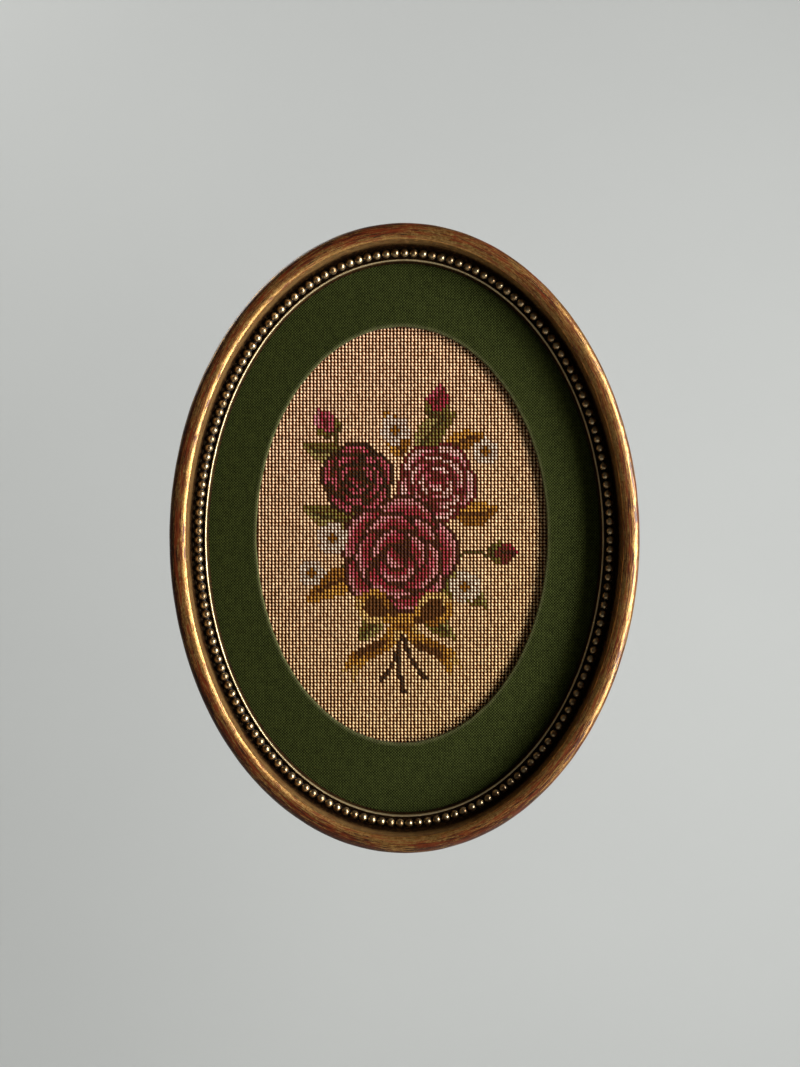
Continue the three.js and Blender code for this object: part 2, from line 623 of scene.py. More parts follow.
@dataclass(frozen=True)
class DyedWool(Finish):
    """Matt worsted yarn in aged dyes: soft and finely fibred, and browned towards each stitch's foot by a painted
    shade, with a little dust, down between the stitches.
    """

    NAME: ClassVar[str] = "aged worsted yarn"
    lean: float
    fibre_length: float = 0.7
    fibre_width: float = 0.09
    # painted shade, with a little dust: the brown that the yarn is multiplied by at its foot
    painted_shade: str = "#A05A1C"
    lustre: str = "#FFDCB0"
    foot: float = 2.6
    top: float = 3.02

    def dress(self, nodes: Nodes) -> dict[str, Any]:
        """Colours each stitch with its dye, browned towards its foot as painted shade, with fibres along its
        slant.
        """
        place = nodes.place()
        slant = {"Vector": place, "Rotation": (0, math.radians(self.lean), 0)}
        turned = add_node(nodes.tree, "ShaderNodeMapping", inputs=slant).outputs[0]
        fibres = nodes.noise(nodes.stretched(turned, self.fibre_length, self.fibre_width, self.fibre_width))
        # painted shade: the yarn is browned from the stitch's top down to its foot, where shade falls between the
        # stitches
        clean = nodes.mapped(nodes.axes(place)[1], -self.foot * MM, -self.top * MM)
        soiled = nodes.mixed(clean, self.painted_shade, "#FFFFFF")
        dye_with_painted_shade = nodes.vector("MULTIPLY", {0: nodes.attribute("dye", "Color"), 1: soiled})
        shade = nodes.mapped(fibres, 0.3, 0.7, to_low=0.8, to_high=1.15)
        return {
            "Base Color": nodes.vector("SCALE", {0: dye_with_painted_shade, "Scale": shade}),
            "Roughness": 0.6,
            "Specular IOR Level": 0.4,
            "Specular Tint": linear(self.lustre),
            "Sheen Weight": 0.1,
            "Sheen Tint": linear(self.lustre),
            "Sheen Roughness": 0.45,
            "Normal": nodes.relief(fibres, depth=0.05, strength=0.5),
        }


@dataclass(frozen=True)
class FibreBoard(Finish):
    """Brown pulp board, rolled flat: matt and flecked with paler and darker fibres, a little stained by age."""

    NAME: ClassVar[str] = "brown pulp board"
    pulp: str = "#8D7758"
    dark: str = "#5E4A32"
    fleck_length: float = 3.0
    fleck_width: float = 0.5
    stain_size: float = 28.0
    stain_share: float = 0.8

    def dress(self, nodes: Nodes) -> dict[str, Any]:
        """Flecks and stains the pulp."""
        place = nodes.place()
        run = nodes.stretched(place, self.fleck_length, self.fleck_width, self.fleck_width)
        flecks = nodes.noise(run, detail=4.0, roughness=0.7, distortion=1.2)
        stains = nodes.noise(place, scale=1 / (self.stain_size * MM), detail=3.0)
        both = nodes.math("MULTIPLY_ADD", stains, self.stain_share, flecks)
        return {
            "Base Color": nodes.mixed(nodes.mapped(both, 0.65, 1.1), self.dark, self.pulp),
            "Roughness": 0.88,
            "Normal": nodes.relief(flecks, depth=0.06, strength=0.5),
        }


@dataclass(frozen=True)
class StudioPaper(Finish):
    """Pale seamless background paper: matt, with a faint unevenness."""

    NAME: ClassVar[str] = "pale background paper"
    tone: str = "#D5D7D4"
    shade: str = "#CBCDCB"

    def dress(self, nodes: Nodes) -> dict[str, Any]:
        """Tints the paper faintly."""
        cloud = nodes.noise(nodes.place(), scale=2.0)
        return {"Base Color": nodes.mixed(cloud, self.shade, self.tone), "Roughness": 0.95}


def even_angles(count: int) -> np.ndarray:
    """Angles spaced evenly round a full turn, in radians."""
    return 2 * math.pi * np.arange(count) / count


def travelled(line: np.ndarray) -> np.ndarray:
    """How far along a line each of its points lies."""
    return np.concatenate([[0], np.cumsum(np.linalg.norm(np.diff(line, axis=0), axis=1))])


@dataclass(frozen=True)
class Oval:
    """The frame's oval: every ring keeps one inset on both axes, as an oval lathe cuts it."""

    half_width: float = 73.6
    half_height: float = 98.6
    centre_up: float = -94.0
    pearl_inset: float = 8.5
    sheet_inset: float = 9.0  # what fills the rebate is cut a little smaller all round
    fineness: ClassVar[int] = 8001  # how many points measure the pearls' line

    def stations(self, count: int) -> np.ndarray:
        """Angles from the top, spaced evenly along the pearls' line.

        Args:
            count: How many stations the whole oval has.

        Returns:
            One angle a station, in radians.
        """
        fine = np.linspace(0, 2 * math.pi, self.fineness)
        run = travelled(self.place(self.pearl_inset, 0, fine))
        return np.interp(np.arange(count) * run[-1] / count, run, fine)

    def length(self) -> float:
        """The length of the pearls' line."""
        fine = np.linspace(0, 2 * math.pi, self.fineness)
        return float(travelled(self.place(self.pearl_inset, 0, fine))[-1])

    def sheet(self) -> tuple[float, float]:
        """Half the width and half the height of the sheets in the rebate."""
        return self.half_width - self.sheet_inset, self.half_height - self.sheet_inset

    def place(self, inset: Any, lift: Any, angle: Any, right: float = 0, up: float = 0) -> np.ndarray:
        """Places points of the oval.

        Args:
            inset: How far inside the outer edge they lie.
            lift: How far off the wall they stand.
            angle: Their angles from the top, in radians.
            right: How far the ring's middle is moved to the right.
            up: How far it is moved up.

        Returns:
            Their places in millimetres.
        """
        across = (self.half_width - inset) * np.sin(angle) + right
        high = (self.half_height - inset) * np.cos(angle) + self.centre_up + up
        return np.stack(np.broadcast_arrays(across, -np.asarray(lift, float), high), -1)

    def disc(
        self, levels: list[tuple[float, float, float]], stations: int
    ) -> tuple[np.ndarray, list[tuple[int, ...]]]:
        """Stacks ovals into a closed sheet, from the middle of the back over the rim to the middle of the front.

        Args:
            levels: Each oval's share of the rim, how far it is drawn in, and its lift.
            stations: How many points each oval has.

        Returns:
            The sheet's points in millimetres, and its faces.
        """
        angles = even_angles(stations)
        half_width, half_height = self.sheet()
        rings = [
            np.stack(
                [
                    (half_width * share - drawn) * np.sin(angles),
                    np.full(stations, -lift),
                    (half_height * share - drawn) * np.cos(angles) + self.centre_up,
                ],
                1,
            )
            for share, drawn, lift in levels
        ]
        middles = [[0, -levels[end][2], self.centre_up] for end in (0, -1)]
        last = (len(levels) - 1) * stations
        hub = last + stations
        around = [(i, (i + 1) % stations) for i in range(stations)]
        faces: list[tuple[int, ...]] = [
            (low + i, low + j, low + stations + j, low + stations + i)
            for low in range(0, last, stations)
            for i, j in around
        ]
        faces += [(i, j, hub) for i, j in around]
        faces += [(last + i, last + j, hub + 1) for i, j in around]
        return np.concatenate([*rings, np.array(middles)]), faces


@dataclass(frozen=True)
class Window:
    """The mat's oval window, a little off the frame's middle."""

    half_width: float = 46.2
    half_height: float = 66.05
    right: float = -0.8
    up: float = 1.0


@dataclass
class Moulding:
    """The turned and gilded oval frame."""

    oval: Oval
    wall_width: float = 8.6
    moulding_width: float = 11.6
    rabbet_ceiling: float = 5.1
    back_chamfer: float = 0.6
    round_radius: float = 3.3
    round_centre_lift: float = 10.9
    round_end: float = 52.0
    shoulder: float = 2.7  # over 2, the round's outer side is fuller than a circle
    # Set by the light: more bole and the painted shade make the foot of the outer shoulder darker, and less
    # rubbing keeps more leaf on the lit right and on the top.
    wear: tuple[float, ...] = (-0.05, -0.17, 0.11, 0.0)  # at the top, right, foot and left
    painted_shade: tuple[float, ...] = (0.0, 0.0, 0.42, 0.05)
    crown_way: tuple[float, ...] = (0, 0.14, 0.3, 1)  # over the round, from its inner to its outer side
    crown_rub: tuple[float, ...] = (0.3, 0.45, 0.66, 0.76)
    hollow_burnish: float = 0.2
    clean_lift: float = 12.2  # below it the hollow gets darker, over the next few millimetres
    dirt_depth: float = 4.2
    hollow_start: tuple[float, float] = (5.4, 13.1)
    hollow_pull: tuple[float, float] = (5.7, 7.6)
    bed_lift: float = 6.2
    bed_outer_inset: float = 6.8
    bed_inner_inset: float = 10.3
    lip_radius: float = 0.23
    lip_centre: tuple[float, float] = (10.75, 7.2)
    stations: int = 400
    unevenness: float = 0.035
    waves: int = 14
    seed: int = 5

    def section(self) -> tuple[np.ndarray, np.ndarray, np.ndarray]:
        """The moulding's closed section, from the rabbet over the face to the back.

        Returns:
            The points' inset and lift; their zones as rubbed, grimy and burnished shares; and whether each is
            on the gilded face.
        """
        pull, start = np.array(self.hollow_pull), np.array(self.hollow_start)
        outer_foot = np.array([self.bed_outer_inset, self.bed_lift])
        inner_foot = np.array([self.bed_inner_inset, self.bed_lift])
        ceiling = np.array([self.moulding_width, self.rabbet_ceiling])
        rabbet = np.array([self.wall_width, self.rabbet_ceiling])
        flank, chamfer = np.array([0, self.round_centre_lift]), np.array([0, self.back_chamfer])
        corner, heel = np.array([self.back_chamfer, 0]), np.array([self.wall_width, 0])
        t = np.linspace(0, 1, 15)[1:, None]
        hollow = (1 - t) ** 2 * outer_foot + 2 * t * (1 - t) * pull + t**2 * start
        lip = arc(self.lip_centre, self.lip_radius, 0, 180, 8)
        crown = arc((0, 0), 1, self.round_end, 180, 26)
        outer = crown[:, 0] < 0
        crown[outer] = np.sign(crown[outer]) * np.abs(crown[outer]) ** (2 / self.shoulder)
        crown = crown * self.round_radius + (self.round_radius, self.round_centre_lift)
        runs = [
            (rabbet[None] + (1.6, 0), (0, 1, 0), False),
            (np.linspace(ceiling, lip[0], 5)[:-1], (0.6, 0.95, 0), True),
            (lip, (0, 0, 1), True),
            (np.linspace(lip[-1], inner_foot, 5)[1:-1], (0.2, 0.7, 0), True),
            (np.linspace(inner_foot, outer_foot, 8), (0.3, 1, 0), True),
            (hollow, (0.0, 0, 0), True),
            (crown, (0.62, 0, 0), True),
            (np.linspace(flank, chamfer, 10)[1:], (0.85, 0.15, 0), True),
            (np.linspace(corner, heel, 5), (0, 0, 0), False),
            (np.array([heel + (0, 2.5), rabbet]), (0, 0, 0), False),
        ]
        points = np.concatenate([run for run, _, _ in runs])
        zones = np.concatenate([np.tile(np.array(zone, float), (len(run), 1)) for run, zone, _ in runs])
        face = np.concatenate([np.full(len(run), gilded) for run, _, gilded in runs])
        first = sum(len(run) for run, _, _ in runs[:5])
        crest = first + len(hollow)
        zones[first:crest, 1] = np.clip((self.clean_lift - hollow[:, 1]) / self.dirt_depth, 0.15, 1)
        zones[crest - 1, 1] = 0.2
        zones[first:crest, 2] = np.linspace(0, self.hollow_burnish, len(hollow))
        way = np.linspace(0, 1, len(crown))
        zones[crest : crest + len(crown), 0] = np.interp(way, self.crown_way, self.crown_rub)
        return points, zones, face

    def build(self) -> Object:
        """Sweeps the section round the oval, with the slight unevenness of hand-laid gesso.

        The outer shoulder is laid darker at the foot as painted shade, with more bole and patina, and keeps more
        leaf on the right and the top, where the light falls, so it shines brighter there.
        """
        section, zones, face = self.section()
        count = len(section)
        angles = self.oval.stations(self.stations)
        ahead, behind = np.roll(section, -1, 0), np.roll(section, 1, 0)
        along = ahead - behind
        out = np.stack([along[:, 1], -along[:, 0]], 1) / np.linalg.norm(along, axis=1)[:, None]
        run = travelled(section)
        rng = np.random.default_rng(self.seed)
        swell = np.zeros((self.stations, count))
        station = even_angles(self.stations)[:, None]
        for _ in range(self.waves):
            turns, pace = rng.integers(3, 60), rng.uniform(0.2, 1.3)
            start, size = rng.uniform(0, 6.28), rng.uniform(0.3, 1)
            swell += size * np.sin(turns * station + pace * run + start)
        swell *= self.unevenness / 3 * face
        inset, lift = section[:, 0] + swell * out[:, 0], section[:, 1] + swell * out[:, 1]
        places = self.oval.place(inset, lift, angles[:, None]).reshape(-1, 3)
        reach = self.oval.length() / (2 * math.pi)
        turning = np.stack(np.broadcast_arrays(reach * np.cos(station), reach * np.sin(station), run), -1)
        shoulder = np.clip((3.6 - section[:, 0]) / 2, 0, 1) * (section[:, 1] > self.round_centre_lift)
        worn = np.tile(zones, (self.stations, 1, 1))
        # painted shade at the foot and more leaf on the lit side, by the angle round the oval
        for zone, amounts in enumerate((self.wear, self.painted_shade)):
            light_side_drift = np.interp(np.degrees(station), np.arange(0, 361, 90), (*amounts, amounts[0]))
            worn[:, :, zone] += light_side_drift * shoulder
        finish_of = [0 if face[j] or face[(j + 1) % count] else 1 for j in range(count)] * self.stations
        return solid(
            "gilded_moulding",
            places,
            ring_faces(self.stations, count),
            [RubbedGilding().material(), StainedWood().material()],
            finish_of,
            {"turning": turning.reshape(-1, 3), "zones": worn.reshape(-1, 3)},
        )

    def fit(self) -> None:
        """Builds the frame and puts it in its place."""
        piece = self.build()
        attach(piece, "root")
        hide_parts("frame_moulding")
        report(piece)


@dataclass
class PearlCourse:
    """The moulded run of pearls in the frame's bed, on the thin strip that joins them."""

    oval: Oval
    count: int = 167
    radius: float = 1.36
    centre_lift: float = 7.12
    strip_width: float = 1.5
    strip_foot: float = 6.25
    strip_rise: float = 0.5
    size_spread: float = 0.03
    seed: int = 8

    def pearls(self, finish: Material) -> Object:
        """Sets a pearl at each point of the pearls' line.

        Args:
            finish: The pearls' material.

        Returns:
            All pearls as one mesh.
        """
        sizes = {
            "Radius": "NodeSocketFloat",
            "Size spread": "NodeSocketFloat",
            "Seed": "NodeSocketInt",
            "Finish": "NodeSocketMaterial",
        }
        tree, given, made = new_tree("pearl run", sizes)
        get = given.outputs
        ball = {"Segments": 12, "Rings": 8, "Radius": get["Radius"]}
        mesh = add_node(tree, "GeometryNodeMeshUVSphere", inputs=ball).outputs["Mesh"]
        upright = {"Geometry": mesh, "Rotation": (math.pi / 2, 0, 0)}
        turned = add_node(tree, "GeometryNodeTransform", inputs=upright).outputs[0]
        size = drawn_number(tree, Nodes(tree).math("SUBTRACT", 1.0, get["Size spread"]), 1.0, get["Seed"])
        lay(tree, given, made, {"Instance": turned, "Scale": size})
        places = self.oval.place(self.oval.pearl_inset, self.centre_lift, self.oval.stations(self.count))
        values = {"Radius": self.radius * MM, "Size spread": self.size_spread, "Seed": self.seed, "Finish": finish}
        return grown(scattered("pearl points", places, {}), tree, values, "pearls")

    def strip(self, finish: Material) -> Object:
        """Sweeps the low half-round strip that the pearls were moulded on."""
        half = self.strip_width / 2
        turn = np.linspace(0, math.pi, 7)
        inset = self.oval.pearl_inset + half * np.cos(turn)
        lift = self.strip_foot + self.strip_rise * np.sin(turn)
        angles = self.oval.stations(2 * self.count)
        places = self.oval.place(inset, lift, angles[:, None]).reshape(-1, 3)
        return solid("pearl_strip", places, ring_faces(2 * self.count, len(turn)), [finish])

    def fit(self) -> None:
        """Builds the course and puts it in its place."""
        finish = AntiquedPearls().material()
        for piece in (self.pearls(finish), self.strip(finish)):
            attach(piece, "root")
            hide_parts("pearl_course")
            report(piece)


@dataclass
class Mat:
    """The oval ring of card that is covered with cloth, turned over both its edges."""

    oval: Oval
    window: Window
    back_lift: float = 3.4
    front_lift: float = 4.8
    edge_radius: float = 0.4
    crown: float = 0.02
    stations: int = 300
    rows: int = 24
    ripple: float = 0.07
    waves: tuple[int, ...] = (5, 9, 14, 23, 31, 47)
    fold_wear_and_highlight: float = 0.16  # how far the crest of the turned edge is laid pale: partly wear, partly a painted highlight
    seed: int = 3

    def section(self) -> np.ndarray:
        """The ring's closed section as share of the way out, set-back from that edge, and lift."""
        radius, low, high = self.edge_radius, self.back_lift, self.front_lift
        turn = np.radians(np.linspace(180, 90, 7))
        inner = [(0, radius + radius * math.cos(a), high - radius + radius * math.sin(a)) for a in turn]
        way = np.linspace(0, 1, self.rows)[1:-1]
        face = [(w, radius * (1 - 2 * w), high + self.crown * math.sin(math.pi * w)) for w in way]
        outer = [(1, -(p[1]), p[2]) for p in reversed(inner)]
        back = [(1, -0.25, low), (0.5, 0, low), (0, 0.25, low)]
        return np.array([(0, 0, low + 0.25), *inner, *face, *outer, (1, 0, low + 0.25), *back])

    def build(self) -> Object:
        """Lofts the ring between the window's edge and the rim."""
        way, back, lift = self.section().T
        angles = even_angles(self.stations)
        rng = np.random.default_rng(self.seed)
        waves = sum(rng.uniform(0.3, 1) * np.sin(n * angles + rng.uniform(0, 6.28)) for n in self.waves)
        uneven = self.ripple / 2.5 * waves[:, None] * (1 - way)[None, :]
        edge = Oval(self.window.half_width, self.window.half_height, self.oval.centre_up)
        inner = edge.place(-back - uneven, lift, angles[:, None], self.window.right, self.window.up)
        outer = self.oval.place(self.oval.sheet_inset - back, lift, angles[:, None])
        places = inner * (1 - way)[None, :, None] + outer * way[None, :, None]
        # the window's rolled edge gets the pale mark: partly wear, partly painted highlight
        lit_worn_fold = np.where((way == 0) & (lift > self.front_lift - 0.8 * self.edge_radius), self.fold_wear_and_highlight, 0.0)
        return solid(
            "mat_cloth",
            places.reshape(-1, 3),
            ring_faces(self.stations, len(way)),
            [PlainWeaveCloth().material()],
            attributes={"lit_worn_fold": np.tile(lit_worn_fold, self.stations)},
        )

    def area(self) -> float:
        """The ring's flat area in square metres."""
        rim = math.prod(self.oval.sheet())
        return math.pi * (rim - self.window.half_width * self.window.half_height) * MM**2

    def fit(self, rests_on: list[Any]) -> Object:
        """Builds the mat and puts it in its place.

        Args:
            rests_on: The pieces that it lies on; not used.

        Returns:
            The mat.
        """
        piece = self.build()
        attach(piece, "root")
        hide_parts("mat")
        width, height = self.oval.sheet()
        self.area()
        report(piece)
        return piece


class Dye(Enum):
    """A yarn's colour as it has aged, in sRGB hex."""

    BEIGE = "#F4D3A2"
    PALE_BEIGE = "#ECD4AC"
    BLACK_BROWN = "#160A0A"
    BURGUNDY = "#3A0A14"
    WINE = "#6B1022"
    CRIMSON = "#9C1F3A"
    ROSE = "#BE5264"
    PINK = "#D68F92"
    BLUSH = "#E6BDB2"
    UMBER = "#5A3410"
    OCHRE = "#9C6A20"
    GOLD = "#C9963C"
    STRAW = "#DDBB72"
    MOSS = "#4A4A20"
    OLIVE = "#75702F"
    SAGE = "#A29A58"
    STONE = "#A79C86"
    IVORY = "#E2D6BC"


DYES: tuple[Dye, ...] = tuple(Dye)
REDS = (Dye.BURGUNDY, Dye.WINE, Dye.CRIMSON, Dye.CRIMSON, Dye.ROSE, Dye.PINK)
PINKS = (Dye.WINE, Dye.CRIMSON, Dye.ROSE, Dye.ROSE, Dye.PINK, Dye.BLUSH)
WINES = (Dye.BLACK_BROWN, Dye.BURGUNDY, Dye.WINE, Dye.WINE, Dye.CRIMSON, Dye.ROSE)
GREENS = (Dye.MOSS, Dye.OLIVE, Dye.SAGE)
BROWNS = (Dye.UMBER, Dye.OCHRE, Dye.GOLD)
RIBBON = (Dye.UMBER, Dye.OCHRE, Dye.GOLD, Dye.GOLD, Dye.STRAW)


@dataclass
class Chart:
    """The stitches' places, counted in stitches from the window's middle, and each one's dye."""

    across: np.ndarray
    up: np.ndarray
    dye: np.ndarray = field(init=False)

    def __post_init__(self) -> None:
        """Starts with the beige ground everywhere."""
        self.dye = np.zeros(self.across.shape, dtype=int)

    def work(self, where: np.ndarray, dye: Dye) -> None:
        """Works some stitches in one dye."""
        self.dye[where] = DYES.index(dye)

    def shade(self, where: np.ndarray, light: np.ndarray, shades: tuple[Dye, ...]) -> None:
        """Works some stitches in graded dyes.

        Args:
            where: Which stitches.
            light: How light each one is, from 0 to 1.
            shades: The dyes from dark to light.
        """
        steps = np.clip((light * len(shades)).astype(int), 0, len(shades) - 1)
        self.dye[where] = np.array([DYES.index(dye) for dye in shades])[steps[where]]

    def turned(self, across: float, up: float, degrees: float) -> tuple[np.ndarray, np.ndarray]:
        """Each stitch's place along and beside a line.

        Args:
            across: The line's start, to the right.
            up: The line's start, upwards.
            degrees: Its direction, from the right and turning left.

        Returns:
            The distance along it and the distance to its left.
        """
        turn = math.radians(degrees)
        x, y = self.across - across, self.up - up
        return x * math.cos(turn) + y * math.sin(turn), y * math.cos(turn) - x * math.sin(turn)


@dataclass(frozen=True)
class Motif:
    """Something worked on the ground, placed by stitches from the window's middle."""

    across: float
    up: float

    def work(self, chart: Chart) -> None:
        """Works the motif's stitches."""
        raise NotImplementedError


@dataclass(frozen=True)
class Pointed(Motif):
    """A motif that runs from its foot in one direction."""

    angle: float
    length: float

    def run(self, chart: Chart) -> tuple[np.ndarray, np.ndarray]:
        """Each stitch's share of the way along the motif, and its distance to the left of it."""
        along, side = chart.turned(self.across, self.up, self.angle)
        return along / self.length, side


@dataclass(frozen=True)
class Rose(Motif):
    """An open rose: rings of overlapping petals, each outlined and shaded."""

    radius: float
    turn: float
    shades: tuple[Dye, ...]

    RINGS: ClassVar[tuple[tuple[float, float, int, int], ...]] = (
        (0.60, 0.44, 5, 0),
        (0.38, 0.38, 5, 36),
        (0.20, 0.28, 3, 10),
        (0.06, 0.17, 1, 200),
    )

    def work(self, chart: Chart) -> None:
        """Works the petals from the outermost ring inwards."""
        for reach, size, count, start in self.RINGS:
            for k in range(count):
                angle = self.turn + start + 360 * k / count
                x = self.across + self.radius * reach * math.cos(math.radians(angle))
                y = self.up + self.radius * reach * math.sin(math.radians(angle))
                out, side = chart.turned(x, y, angle)
                radius = self.radius * size
                far = np.hypot(out, side * 0.84)
                chart.work(far < radius + 0.9, self.shades[0])
                light = 0.42 + 0.42 * out / radius + 0.16 * side / radius
                light = light + 0.28 * (far > radius - 1.5) * (out > -0.2 * radius)
                chart.shade(far < radius, light, self.shades)


@dataclass(frozen=True)
class Bud(Pointed):
    """A closed bud on its sepals, drawn from its foot to its tip."""

    shades: tuple[Dye, ...]

    def work(self, chart: Chart) -> None:
        """Works the petals, then the sepals round their foot."""
        way, side = self.run(chart)
        t = np.clip(way, 0, 1)
        half = 0.37 * self.length * np.sin(math.pi * (0.12 + 0.88 * t) ** 0.8)
        inside = (way > 0) & (way < 1) & (np.abs(side) < half)
        light = 0.3 + 0.5 * t + 0.45 * side / self.length
        light = light - 0.4 * (np.abs(side + 0.25 * self.length * (t - 0.55)) < 0.55) * (t > 0.35)
        chart.shade(inside, light, self.shades)
        chart.work(inside & (t < 0.42) & (np.abs(side) > half * (0.15 + 1.1 * t)), Dye.OLIVE)
        chart.work(inside & (t < 0.16), Dye.MOSS)


@dataclass(frozen=True)
class Leaf(Pointed):
    """A leaf with a dark rib, lighter on one half."""

    width: float
    bow: float
    shades: tuple[Dye, Dye, Dye]

    def work(self, chart: Chart) -> None:
        """Works the two halves, then the rib."""
        way, side = self.run(chart)
        t = np.clip(way, 0, 1)
        side = side - self.bow * 4 * t * (1 - t)
        half = self.width / 2 * np.sin(math.pi * t**0.8) ** 0.75
        inside = (way > 0) & (way < 1) & (np.abs(side) < half)
        chart.work(inside & (side <= 0), self.shades[1])
        chart.work(inside & (side > 0), self.shades[2])
        chart.work(inside & (np.abs(side) < 0.5) & (t < 0.8), self.shades[0])


@dataclass(frozen=True)
class Stem(Pointed):
    """A thin bowed stem."""

    bow: float
    dye: Dye
    width: float = 1.1

    def work(self, chart: Chart) -> None:
        """Works the stem."""
        t, side = self.run(chart)
        side = side - self.bow * 4 * t * (1 - t)
        chart.work((t > 0) & (t < 1) & (np.abs(side) < self.width / 2), self.dye)


@dataclass(frozen=True)
class Blossom(Motif):
    """A small ivory blossom of five petals round an ochre eye."""

    radius: float
    turn: float

    def work(self, chart: Chart) -> None:
        """Works the petals, then the eye."""
        eye = np.hypot(chart.across - self.across, chart.up - self.up)
        for k in range(5):
            angle = math.radians(self.turn + 72 * k)
            x = self.across + 0.58 * self.radius * math.cos(angle)
            y = self.up + 0.58 * self.radius * math.sin(angle)
            far = np.hypot(chart.across - x, chart.up - y)
            chart.work(far < 0.5 * self.radius, Dye.IVORY)
            chart.work((far < 0.5 * self.radius) & (eye < 0.42 * self.radius), Dye.STONE)
        chart.work(eye < 0.3 * self.radius, Dye.OCHRE)


@dataclass(frozen=True)
class RibbonLoop(Pointed):
    """One loop of the ribbon's bow."""

    width: float

    def work(self, chart: Chart) -> None:
        """Works the loop with its dark inside."""
        way, side = self.run(chart)
        t = np.clip(way, 0, 1)
        half = self.width / 2 * np.sin(math.pi * t**1.5) ** 0.8
        inside = (way > 0) & (way < 1) & (np.abs(side) < half)
        hollow = (t > 0.32) & (t < 0.80) & (np.abs(side) < half - 2.2)
        chart.shade(inside, 0.25 + 0.75 * t + 0.3 * np.sign(side), RIBBON)
        chart.work(inside & hollow, Dye.UMBER)


@dataclass(frozen=True)
class RibbonTail(Pointed):
    """One waved end of the ribbon, cut to a notch."""

    width: float
    wave: float

    def work(self, chart: Chart) -> None:
        """Works the tail in the shades of its folds."""
        t, side = self.run(chart)
        side = side - self.wave * np.sin(2 * math.pi * t)
        notch = 1 - 0.12 * (1 - np.abs(side) / (self.width / 2))
        inside = (t > 0) & (t < notch) & (np.abs(side) < self.width / 2)
        chart.shade(inside, 0.55 + 0.45 * np.cos(2 * math.pi * t) + 0.15 * np.sign(side), RIBBON)


@dataclass(frozen=True)
class Knot(Motif):
    """The bow's knot."""

    def work(self, chart: Chart) -> None:
        """Works the knot, light above and dark below."""
        far = np.hypot((chart.across - self.across) / 3.0, (chart.up - self.up) / 2.6)
        chart.work(far < 1, Dye.OCHRE)
        chart.work((far < 0.95) & (chart.up > self.up - 0.5), Dye.GOLD)


SPRAY = (
    Stem(0, -24, 250, 20, 2, Dye.BLACK_BROWN),
    Stem(0, -24, 272, 22, -1.5, Dye.BLACK_BROWN),
    Stem(0, -24, 292, 19, -2, Dye.BLACK_BROWN),
    Stem(6, 20, 75, 15, 1.5, Dye.MOSS),
    Stem(-14, 20, 120, 11, 1.5, Dye.MOSS),
    Stem(16, -6, -2, 10, 1, Dye.MOSS),
    Stem(-16, -8, 200, 10, 2, Dye.MOSS),
    Leaf(-10, 4, 168, 19, 8, 1.5, GREENS),
    Leaf(-12, -12, 205, 17, 8, -1.5, BROWNS),
    Leaf(8, -12, -28, 19, 8, 1.5, GREENS),
    Leaf(15, 6, 8, 13, 7, -1, BROWNS),
    Leaf(4, 22, 50, 18, 7.5, 1.5, GREENS),
    Leaf(0, 22, 112, 15, 7, -1, BROWNS),
    Leaf(-18, 24, 170, 11, 6, 1, GREENS),
    Leaf(12, 24, 20, 13, 6, 1, BROWNS),
    Leaf(-6, -20, 238, 13, 6, 1, GREENS),
    Leaf(7, -20, 310, 13, 6, -1, GREENS),
    RibbonTail(-1, -25, 228, 22, 4.6, 1.6),
    RibbonTail(2, -25, 312, 20, 4.6, -1.6),
    Rose(-13, 16, 9.5, 20, WINES),
    Rose(10, 15, 10.5, 60, PINKS),
    Rose(-1, -6, 16, 8, REDS),
    Bud(9.2, 33.5, 78, 10.5, REDS),
    Bud(-19.5, 28.5, 124, 9.5, PINKS),
    Bud(25, -5.5, 4, 9, WINES),
    Blossom(-20, -1, 4.6, 10),
    Blossom(18, -15, 4.6, 30),
    Blossom(-2, 30, 4.2, 50),
    Blossom(-26, -11, 3.8, 0),
    Blossom(24, 24, 3.8, 20),
    RibbonLoop(0, -25, 152, 15, 10),
    RibbonLoop(1, -25, 24, 15, 10),
    Knot(0.5, -25),
)


